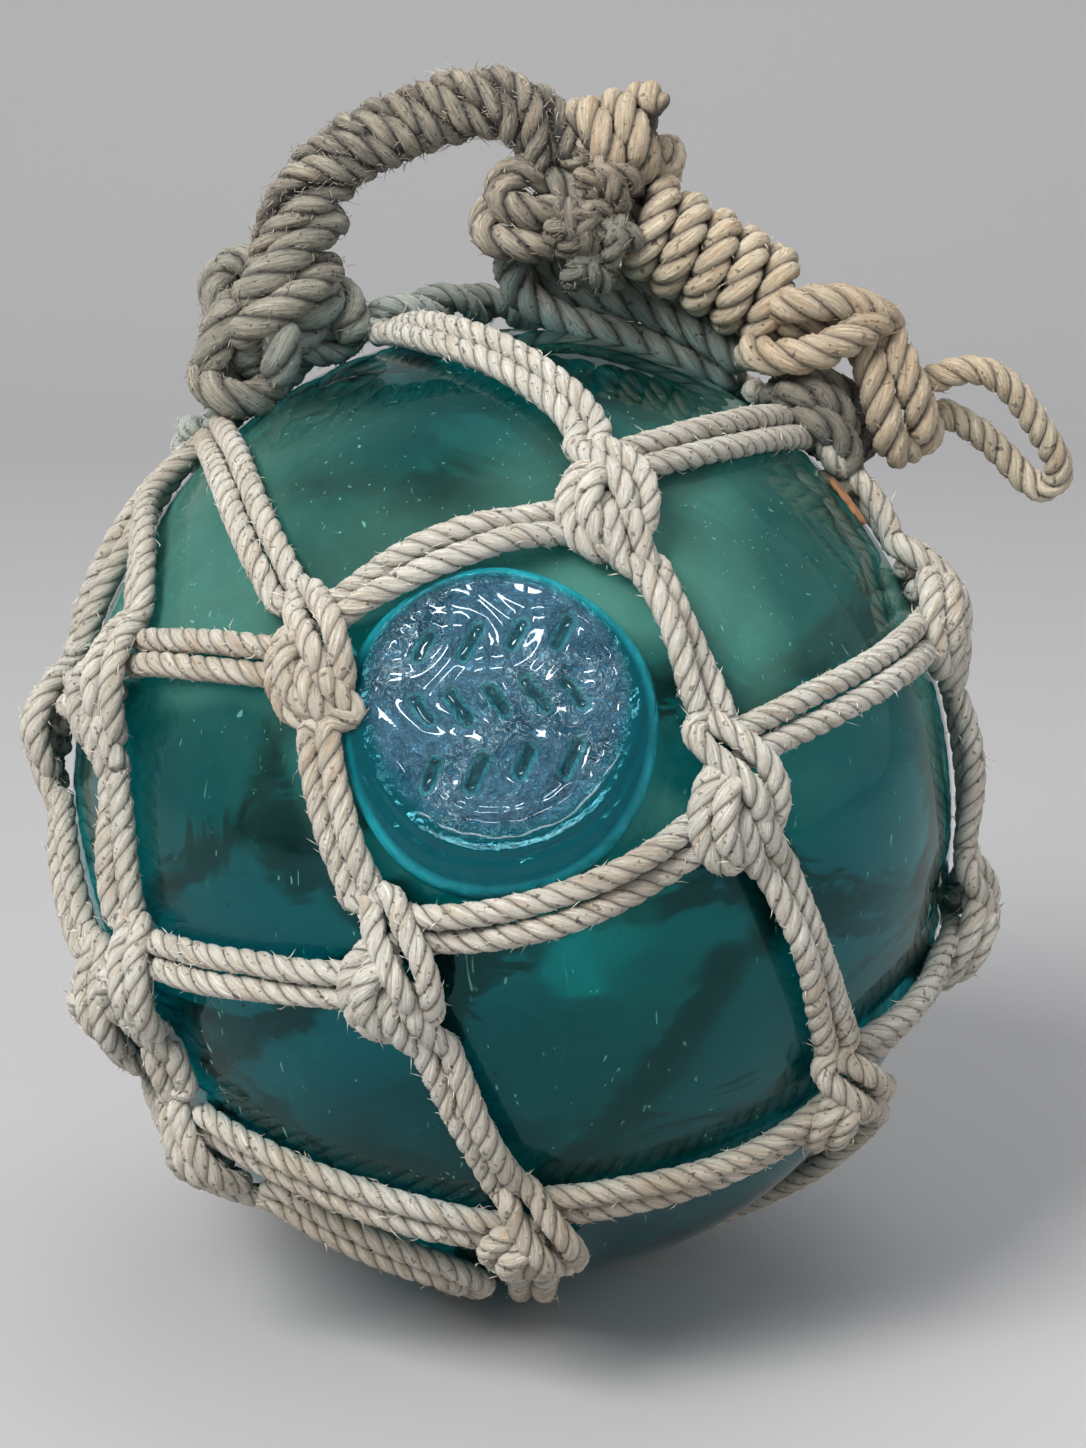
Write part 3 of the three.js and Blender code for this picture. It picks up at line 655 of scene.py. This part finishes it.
oldKnots = [
    {"at": (15, 0, 101.5), "radius": 3.9, "rope": 4, "stain": 0,
     "axes": [(1, 0.3, 0.4), (0.2, 0.5, 1)]},
    {"at": (10.5, -0.5, 95), "radius": 4.2, "rope": 4.1, "stain": 0.1,
     "axes": [(0.9, 0.4, -0.6), (-0.3, 0.4, 1), (1, 0.1, 0.5)]},
    {"at": (16, 0, 93), "radius": 3.6, "rope": 3.9, "stain": 0.3,
     "axes": [(0.4, 0.5, 1), (1, 0.3, -0.3)]},
    {"at": (12, 1, 88.2), "radius": 3.6, "rope": 3.8, "stain": 0.4,
     "axes": [(1, 0.2, 0.7), (-0.6, 0.4, 1)]},
]
handleFill = [
    [(1, 6, 103), (8, 6, 100), (13, 5, 95), (12, 6, 88)],
    [(3, 8, 98), (7, 8, 94), (9, 9, 88)],
]
handle = {
    "core": 6, "cords": 4, "cord": 4.9, "cordsOut": 3.55, "crest": 5.6, "knotCore": 7.6,
    "leg": 6.1, "legOut": 2.9, "thirdLeg": (2.5, 1.5, 4.6), "fill": 5.6,
    "mmPerTurn": [(0, 44), (0.22, 44), (0.32, 22), (0.62, 22), (0.7, 30), (0.86, 30), (0.95, 90), (1, 90)],
}

handleWork = Ropework(41)
archLine = evenly(threaded(archRoute), 0.6)
_, archSide, archOver = framesAlong(archLine)
t = np.linspace(0, 1, len(archLine))
stops, turnLengths = np.array(handle["mmPerTurn"]).T
rate = np.interp(t, stops, 1 / turnLengths)
archStep = lengthOf(archLine) / (len(archLine) - 1)
archTwist = np.concatenate([[0], np.cumsum(rate[:-1] * archStep)]) * 2 * np.pi
handleWork.rope(archLine, handle["core"], stain=0.2, hairs=0)
for start in range(handle["cords"]):
    angle = archTwist + start * 2 * np.pi / handle["cords"] + 0.6
    out = handle["cordsOut"] + 0.3 * np.sin(t * 31 + start * 2.1)
    wound = np.cos(angle)[:, None] * archSide + np.sin(angle)[:, None] * archOver
    handleWork.rope(archLine + out[:, None] * wound, handle["cord"], stain=0.14, groove=0.3, lively=0.07,
                    hairs=10, core=archLine[::2], crest=handle["crest"])
for index, route in enumerate(leftKnot):
    stain = 0.5 if index > 4 else 0.25
    handleWork.rope(threaded(route), handleRope * 1.1, stain=stain, groove=0.2, hairs=4)
for route in leftKnotCores:
    handleWork.rope(threaded(route), handle["knotCore"], stain=0.6, groove=0.2, hairs=2)
legLine = evenly(threaded(legRoute), 1)
_, legSide, legOver = framesAlong(legLine)
for start in (0, np.pi):
    angle = np.linspace(0, 2.6, len(legLine)) + start + 0.4
    wound = np.cos(angle)[:, None] * legSide + np.sin(angle)[:, None] * legOver
    handleWork.rope(legLine + handle["legOut"] * wound, handle["leg"], stain=0.6, groove=0.22)
handleWork.rope(legLine[6:-4] + np.array(handle["thirdLeg"]), handle["leg"], stain=0.5, groove=0.22)
for route in smallLoops:
    handleWork.rope(threaded(route), handleRope, stain=0.05, groove=0.25, hairs=4)
knotsWork = Ropework(43)
for route in handleFill:
    handleWork.rope(threaded(route), handle["fill"], stain=0.3, groove=0.24)
for lump in oldKnots:
    for around in lump["axes"]:
        axis = unit(np.array(around, float))
        a = unit(np.cross(axis, [0.2, 0.9, 0.4]))
        b = np.cross(axis, a)
        bend = np.linspace(0, 5.2, 16)[:, None]
        line = np.array(lump["at"]) + lump["radius"] * (np.cos(bend) * a + np.sin(bend) * b)
        line = line + axis * (bend - 2.6) * 0.5
        knotsWork.rope(line, lump["rope"], stain=lump["stain"], groove=0.26, lively=0.09, hairs=9)
handleWork.piece("handle_and_its_knots", handleLook, "handle_rope", ["handle_rope"])
knotsWork.piece("old_knots", oldLook, "handle_rope")
print("handle made")

# The lanyard: two windings, the cords across them, and the turns that hang from its end.
bigTurns = {
    "start": (10.5, 5.5, 105.5), "end": (23, 7.5, 108.5), "radius": 5.2, "turns": 2.6, "startTurn": 0.3,
    "width": 1.04,
}
coilTurns = {
    "start": (19.5, 6, 95), "end": (42.5, 5, 81.3), "radius": 5.9, "turns": 4.9, "startTurn": 0.45,
    "width": 0.96,
}
crossOver = [
    [(23, 11.5, 107), (25, 12.5, 103), (22, 12, 98.5), (20, 11.5, 95.5)],
    [(41, 4, 77), (46, 3, 76), (52, 4, 77), (56, 4, 77)],
]
bands = [
    [(36, 0, 75), (41, -5, 74.5), (48, -6, 75.5), (55, -3, 78.5), (60, 2, 80.5)],
    [(40, -1, 81.5), (46, -3, 82.5), (53, -2, 82.5), (58, 1, 80), (60.5, 7, 77)],
    [(37, 3, 79), (44, 1, 79), (52, 1.5, 79.5), (58, 4, 76), (60, 4, 70)],
]
hangingTurns = [
    [(55, 2, 77), (57, -1.5, 71), (59, -2, 64), (61.2, 0, 59), (64.5, 4, 59)],
    [(59, 4, 78), (61.5, 0, 73), (64, 0, 67), (66, 2, 61.5), (65, 6, 59)],
]


def windingLine(turns):
    a, b = np.array(turns["start"], float), np.array(turns["end"], float)
    axis = unit(b - a)
    front = unit(np.array([0.0, -1, 0]) - axis * -axis[1])
    side = np.cross(axis, front)
    t = np.linspace(0, 1, int(turns["turns"] * 40))[:, None]
    angle = 2 * np.pi * (turns["startTurn"] + turns["turns"] * t)
    return a + (b - a) * t + (front * np.cos(angle) + side * np.sin(angle)) * turns["radius"]


lanyardWork = Ropework(51)
hardLaid = {"pitch": 1.95, "groove": 0.3, "lively": 0.025}
for turns in (bigTurns, coilTurns):
    axis = evenly(np.array([turns["start"], turns["end"]], float), 0.5)
    lanyardWork.rope(windingLine(turns), lanyardRope * turns["width"], hairs=1, core=axis,
                     crest=turns["radius"] + 2, **hardLaid)
for route in crossOver + bands + hangingTurns:
    lanyardWork.rope(threaded(route), lanyardRope, hairs=1, **hardLaid)
windingCores = [
    [(8, 6.5, 103), (11, 5.5, 105.5), (22, 7.5, 108.2)],
    [(12, 5, 96), (19.5, 6, 94.5), (43, 5, 80.7)],
]
windingCore = 5.2
for route in windingCores:
    lanyardWork.rope(threaded(route), windingCore, stain=0.3, hairs=0.3)
lanyardWork.piece("lanyard_turns", lanyardLook, "lanyard_rope", ["lanyard"])
print("lanyard made")


def meshPiece(name, verts, faces, look, nodes):
    mesh = bpy.data.meshes.new(name)
    mesh.from_pydata((np.asarray(verts) * mm + ballMiddle).tolist(), [], faces)
    mesh.polygons.foreach_set("use_smooth", [True] * len(mesh.polygons))
    mesh.update()
    mesh.materials.append(look)
    made = bpy.data.objects.new(name, mesh)
    bpy.context.scene.collection.objects.link(made)
    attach(made, "root")
    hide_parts(*nodes)
    return made


def roundSkin(around, down, placed, inward=False):  # a sphere's grid, placed by a function of directions
    directions = [np.array([0.0, 0.0, 1.0])]
    for j in range(1, down):
        for i in range(around):
            directions.append(way((360 * i / around, 180 * j / down)))
    directions.append(np.array([0.0, 0.0, -1.0]))
    verts = placed(np.array(directions))
    faces = []
    last = len(directions) - 1
    for i in range(around):
        nxt = (i + 1) % around
        faces.append([0, 1 + i, 1 + nxt])
        for j in range(down - 2):
            row = 1 + j * around
            faces.append([row + i, row + around + i, row + around + nxt, row + nxt])
        row = 1 + (down - 2) * around
        faces.append([row + i, last, row + nxt])
    if inward:
        faces = [face[::-1] for face in faces]
    return verts, faces


def glassLook(name, tint, shadedLowerTint, rough, wavy, glassLightAndDust=None):
    look, start, shader = newLook(name)
    shader.inputs["Specular Tint"].default_value = colour(0.35, 0.9, 0.9)
    shader.inputs["Transmission Weight"].default_value = 1.0
    shader.inputs["IOR"].default_value = 1.47
    shader.inputs["Roughness"].default_value = rough
    place = start.node("ShaderNodeTexCoord", None, None, 3)
    waves = place.stretched(1, 1.6).noise(wavy["scale"], 3, 0.45, 1.2)
    relief = {"Strength": wavy["strength"], "Distance": wavy["depth"], "Height": waves}
    connect(start.node("ShaderNodeBump", None, relief), shader.inputs["Normal"])
    across, _, up = split(place)
    mottle = place.noise(17, 3, 0.55, 0.8).ramp(0.35, 0.65)
    # painted light: the glass is lighter and greener towards the top, darker and bluer towards the bottom
    depth = (up * 4.0 + mottle * 0.7 - 0.42).held()
    connect(depth.between(shadedLowerTint, tint), shader.inputs["Base Color"])
    if glassLightAndDust:
        band = (1.0 - (up - 0.120) * (up - 0.120) * 1000).held()  # painted light seen through the glass, thickest round the shoulder
        paintedLightFilm = (band * (0.9 + across * 7).held() + (across * -10 - 0.3).held() * 0.35).held()
        clouds = place.noise(44, 5, 0.62, 0.4).ramp(0.4, 0.7)
        panes = place.noise(15, 1, 0.4, 1.1).ramp(0.47, 0.56)
        specks = place.noise(1300, 1, 0.5).ramp(0.75, 0.8)
        lint = place.stretched(1, 0.25).noise(420, 1, 0.5, 3.0).ramp(0.72, 0.78)
        # the film is painted light seen through the glass; the specks and lint are real dust
        share = (paintedLightFilm * (0.03 + clouds * 0.16 + panes * 0.4) + specks * 0.35 + lint * 0.5).held()
        coat = start.node("ShaderNodeBsdfDiffuse", None, {"Color": glassLightAndDust, "Roughness": 0.5})
        glass = Wire(start.tree, shader.outputs[0])
        mixed = start.node("ShaderNodeMixShader", None, {0: share, 1: glass, 2: coat})
        connect(mixed, look.node_tree.nodes["Material Output"].inputs["Surface"])
    return look


ballLook = glassLook("sea_green_glass", colour(0.05, 0.40, 0.34), colour(0.002, 0.29, 0.33), 0.03,
                     {"scale": 16, "strength": 0.35, "depth": 0.0012}, colour(0.15, 0.42, 0.34))
insideLook = glassLook("sea_green_inside", colour(0.06, 0.44, 0.38), colour(0.005, 0.36, 0.39), 0.12,
                       {"scale": 30, "strength": 0.5, "depth": 0.0015})
glassVerts, glassFaces = roundSkin(
    ball["around"], ball["down"], lambda ways: onGlass(ways, np.zeros(len(ways))))
innerVerts, innerFaces = roundSkin(
    ball["around"], ball["down"], lambda ways: onGlass(ways, np.full(len(ways), -ball["wall"])), inward=True)
allVerts = [glassVerts, innerVerts]
allFaces = glassFaces + [[a + len(glassVerts) for a in face] for face in innerFaces]
seeds = {"count": 46, "small": 0.14, "large": 0.4, "toward": (0, -0.6, 0.1)}
seedChance = random.Random(61)
for _ in range(seeds["count"]):  # air bubbles shut in the wall
    direction = unit(np.array([seedChance.gauss(toward, 1) for toward in seeds["toward"]]))
    size = seedChance.uniform(seeds["small"], seeds["large"]) * (1.6 if seedChance.random() < 0.08 else 1)
    middle = onGlass(direction[None, :], np.array([-seedChance.uniform(0.8, ball["wall"] - 1.2)]))[0]
    bubble, skin = roundSkin(8, 6, lambda ways: middle + ways * size, inward=True)
    base = sum(len(v) for v in allVerts)
    allVerts.append(bubble)
    allFaces += [[a + base for a in face] for face in skin]
blownBall = meshPiece("blown_ball", np.vstack(allVerts), allFaces, ballLook, ["glass_ball"])
blownBall.data.materials.append(insideLook)
for index in range(len(glassFaces), len(glassFaces) + len(innerFaces)):
    blownBall.data.polygons[index].material_index = 1
print("ball made")

# Rows of shallow bars pressed into the seal, in shares of its half width and height.
strokes = {  # each row: how high it is, how many bars, and their slant
    "rows": [(0.52, 4, 0.55), (0.15, 5, -0.6), (-0.22, 4, 0.5)], "reach": 0.56, "depth": 1.1, "wide": 0.045,
}
strokeList = []
for level, count, slant in strokes["rows"]:
    for i in range(count):
        middle = (i - (count - 1) / 2) * 2 * strokes["reach"] / count
        strokeList.append((middle, level + 0.03 * math.sin(5 * middle), slant, 0.07 + 0.02 * (i % 2)))


def strokeAt(u, v):
    deepest = 0
    for x, y, slant, half in strokeList:
        along = (v - y) * math.cos(slant) + (u - x) * math.sin(slant)
        across = (u - x) * math.cos(slant) - (v - y) * math.sin(slant)
        past = max(0, abs(along) - half)
        deepest = max(deepest, math.exp(-(((across**2 + past**2) / strokes["wide"] ** 2) ** 1.5)))
    return deepest


def sealAt(u, v):  # u across and v up from -1 to 1: mm off the glass, and shares of recess, stroke and rim
    r = math.hypot(u, v)
    edge = 1 - min(1, max(0, (r - 0.88) / 0.12)) ** 2.4
    inner = math.hypot(u, v - seal["recessRise"])
    low = max(0, min(1, 0.4 - v))
    step = min(1, max(0, (0.79 - inner) / (0.06 + 0.1 * low))) * min(1, max(0, (0.93 - r) / 0.05))
    step = step * step * (3 - 2 * step)
    ripple = 0.20 * math.sin(9 * u + 2.6 * math.sin(4 * v + 1)) * math.sin(8 * v + 2 * math.sin(5 * u))
    ripple += 0.2 * math.sin(25 * u + 3 * math.sin(9 * v)) * math.sin(21 * v + 2.2 * math.sin(11 * u))
    ripple += 0.22 * math.sin(inner * 62) * max(0, min(1, -v * 2.2)) * max(0, 1 - abs(inner - 0.62) * 5)
    folds = math.exp(-(((inner - 0.83) / 0.028) ** 2)) * 0.45
    folds += math.exp(-(((inner - 0.92) / 0.03) ** 2)) * 0.25
    stroke = strokeAt(u, v)
    height = seal["edge"] + (seal["thick"] - seal["edge"]) * edge
    height = height - step * (seal["recess"] - ripple) + folds * low * edge
    rim = max(0, min(1, (r - 0.87) / 0.08))
    return height - stroke * strokes["depth"], (step, stroke, rim)


def onSeal(u, v, lift):
    spot = sealWay + sealSide * u * seal["wide"] / 2 / radii[0] + sealUp * v * seal["high"] / 2 / radii[2]
    return onGlass(unit(spot)[None, :], np.array([lift]))[0]


lift, zone = sealAt(0, 0)
sealVerts, sealFaces, sealZones = [onSeal(0, 0, lift)], [], [zone]
n = seal["around"]
for j in range(1, seal["rings"] + 1):
    r = j / seal["rings"]
    for i in range(n):
        a = 2 * math.pi * i / n
        wobble = 1 + 0.012 * math.sin(3 * a + 1) + 0.008 * math.sin(5 * a)
        u, v = r * math.cos(a), r * math.sin(a)
        lift, zone = sealAt(u, v)
        sealVerts.append(onSeal(u * wobble, v * wobble, lift))
        sealZones.append(zone)
backRings = (1.0, 0.6, 0.25)
for size in backRings:
    for i in range(n):
        a = 2 * math.pi * i / n
        wobble = size * (1 + 0.012 * math.sin(3 * a + 1) + 0.008 * math.sin(5 * a))
        sealVerts.append(onSeal(math.cos(a) * wobble, math.sin(a) * wobble, seal["back"]))
sealVerts.append(onSeal(0, 0, seal["back"]))
sealZones += [(0, 0, 0)] * (len(sealVerts) - len(sealZones))
total = seal["rings"] + len(backRings)
for i in range(n):
    nxt = (i + 1) % n
    sealFaces.append([0, 1 + i, 1 + nxt])
    for j in range(total - 1):
        row = 1 + j * n
        sealFaces.append([row + i, row + n + i, row + n + nxt, row + nxt])
    row = 1 + (total - 1) * n
    sealFaces.append([row + i, len(sealVerts) - 1, row + nxt])

sealLook, sealStart, sealShader = newLook("pressed_blue_glass")
sealPlace = sealStart.node("ShaderNodeTexCoord", None, None, 3)
zones = sealStart.node("ShaderNodeAttribute", {"attribute_name": "zone"}, None, 1)
pressed, cut, rimmed = split(zones)
crinkle = sealPlace.noise(430, 3, 0.55, 2.8)
drift = sealPlace.noise(130, 3, 0.6, 0.8).ramp(0.35, 0.68)
# painted highlight: the wrinkles' crests are painted lighter; drift is the glass's own uneven tone
shine = (drift * 0.6 + crinkle.ramp(0.48, 0.7) * 0.3).held()
recessToneAndHighlights = shine.between(colour(0.0, 0.085, 0.17), colour(0.20, 0.48, 0.70))
paintedGlints = (1 - (crinkle - 0.52) * (crinkle - 0.52) * 2600).held()  # painted glints along thin crests of the wrinkles
# where the painted glints gather
lively = sealPlace.noise(75, 2, 0.5, 0.6).ramp(0.45, 0.6)
recessToneAndHighlights = (paintedGlints * (0.1 + lively * 0.9)).held().between(recessToneAndHighlights, colour(0.80, 0.97, 1.0))
sealTone = (pressed * 0.92).held().between(colour(0.0, 0.085, 0.11), recessToneAndHighlights)
# painted light: the rim is painted bright cyan for light glowing through the thick edge
sealTone = (rimmed * (0.45 + drift * 0.55)).held().between(sealTone, colour(0.03, 0.70, 0.84))
# painted shade in the stroke channels, and painted highlights along their edges
sealTone = (cut * 0.95).held().between(sealTone, colour(0.0, 0.09, 0.12))
sealTone = (cut * (1 - cut) * 3 - 0.35).held().between(sealTone, colour(0.10, 0.62, 0.72))
connect(sealTone, sealShader.inputs["Base Color"])
connect((pressed * 0.1 + 0.03).held(), sealShader.inputs["Roughness"])
connect((pressed * drift * 0.5 - cut).held(), sealShader.inputs["Metallic"])
sealShader.inputs["Transmission Weight"].default_value = 0.45
sealShader.inputs["Specular Tint"].default_value = colour(0.25, 0.85, 0.95)
sealShader.inputs["IOR"].default_value = 1.52
connect((pressed * 0.85 + 0.12).held(), sealShader.inputs["Coat Weight"])
sealShader.inputs["Coat Roughness"].default_value = 0.04
sealWaves = crinkle * (0.06 + pressed) + sealPlace.noise(170, 2, 0.5, 1) * 0.35
sealRelief = {"Strength": 1.0, "Distance": 0.0018, "Height": sealWaves}
connect(sealStart.node("ShaderNodeBump", None, sealRelief), sealShader.inputs["Normal"])
sealDisc = meshPiece("seal_disc", np.array(sealVerts), sealFaces, sealLook, ["seal_button"])
zoneLayer = sealDisc.data.attributes.new("zone", "FLOAT_VECTOR", "POINT")
zoneLayer.data.foreach_set("vector", np.array(sealZones, np.float32).ravel())
print("seal made")

sweepFloor = {"front": -1.4, "back": 0.75, "curve": 0.5, "top": 1.9, "half": 2.2}
profile = [(sweepFloor["front"], 0.0), (sweepFloor["back"], 0.0)]
for i in range(1, 13):
    a = math.radians(90 * i / 12)
    curve = sweepFloor["curve"]
    profile.append((sweepFloor["back"] + curve * math.sin(a), curve * (1 - math.cos(a))))
profile.append((sweepFloor["back"] + sweepFloor["curve"], sweepFloor["top"]))
floorMesh = bpy.data.meshes.new("paper_sweep")
floorVerts = [(x, y, z) for y, z in profile for x in (-sweepFloor["half"], sweepFloor["half"])]
floorFaces = [(2 * i, 2 * i + 1, 2 * i + 3, 2 * i + 2) for i in range(len(profile) - 1)]
floorMesh.from_pydata(floorVerts, [], floorFaces)
floorMesh.polygons.foreach_set("use_smooth", [True] * len(floorMesh.polygons))
floorLook, floorStart, floorShader = newLook("pale_paper")
floorPlace = floorStart.node("ShaderNodeTexCoord", None, None, 3)
# painted shade: the paper darkens towards the back and up the sweep
rearShade = split(floorPlace)[1].ramp(-0.3, 0.85)
floorTone = (rearShade + floorPlace.noise(3, 3, 0.5) * 0.1 - 0.05).held()
floorTone = floorTone.between(colour(0.43, 0.43, 0.44), colour(0.35, 0.35, 0.357))
connect(floorTone, floorShader.inputs["Base Color"])
floorShader.inputs["Roughness"].default_value = 0.9
floorMesh.materials.append(floorLook)
floorObject = bpy.data.objects.new("paper_sweep", floorMesh)
bpy.context.scene.collection.objects.link(floorObject)

lamps = [
    {"name": "soft_key", "at": (-0.8, -0.95, 1.3), "size": (0.85, 0.85), "power": 41,
     "tone": (1.0, 0.985, 0.96)},
    {"name": "soft_fill", "at": (1.1, -1.0, 0.7), "size": (1.4, 1.4), "power": 6.5,
     "tone": (0.96, 0.98, 1.0)},
    {"name": "soft_back", "at": (0.3, 0.5, 1.4), "size": (1.2, 1.2), "power": 8, "tone": (1.0, 1.0, 1.0)},
    {"name": "glint_strip", "at": (-0.25, -1.0, 1.16), "size": (0.8, 0.16), "power": 12,
     "tone": (0.9, 0.95, 1.0)},
]
for lamp in lamps:
    data = bpy.data.lights.new(lamp["name"], "AREA")
    data.shape = "RECTANGLE"
    data.size, data.size_y = lamp["size"]
    data.energy = lamp["power"]
    data.color = lamp["tone"]
    light = bpy.data.objects.new(lamp["name"], data)
    light.location = lamp["at"]
    light.rotation_euler = (Vector((0, 0, 0.08)) - Vector(lamp["at"])).to_track_quat("-Z", "Y").to_euler()
    light.visible_glossy = lamp["name"] == "glint_strip"
    light.visible_diffuse = lamp["name"] != "glint_strip"
    bpy.context.scene.collection.objects.link(light)
world = bpy.data.worlds.new("studio")
world.use_nodes = True
world.node_tree.nodes["Background"].inputs["Color"].default_value = colour(0.80, 0.81, 0.83)
world.node_tree.nodes["Background"].inputs["Strength"].default_value = 0.48
bpy.context.scene.world = world
bpy.context.scene.view_settings.view_transform = "Standard"
print("stage lit")
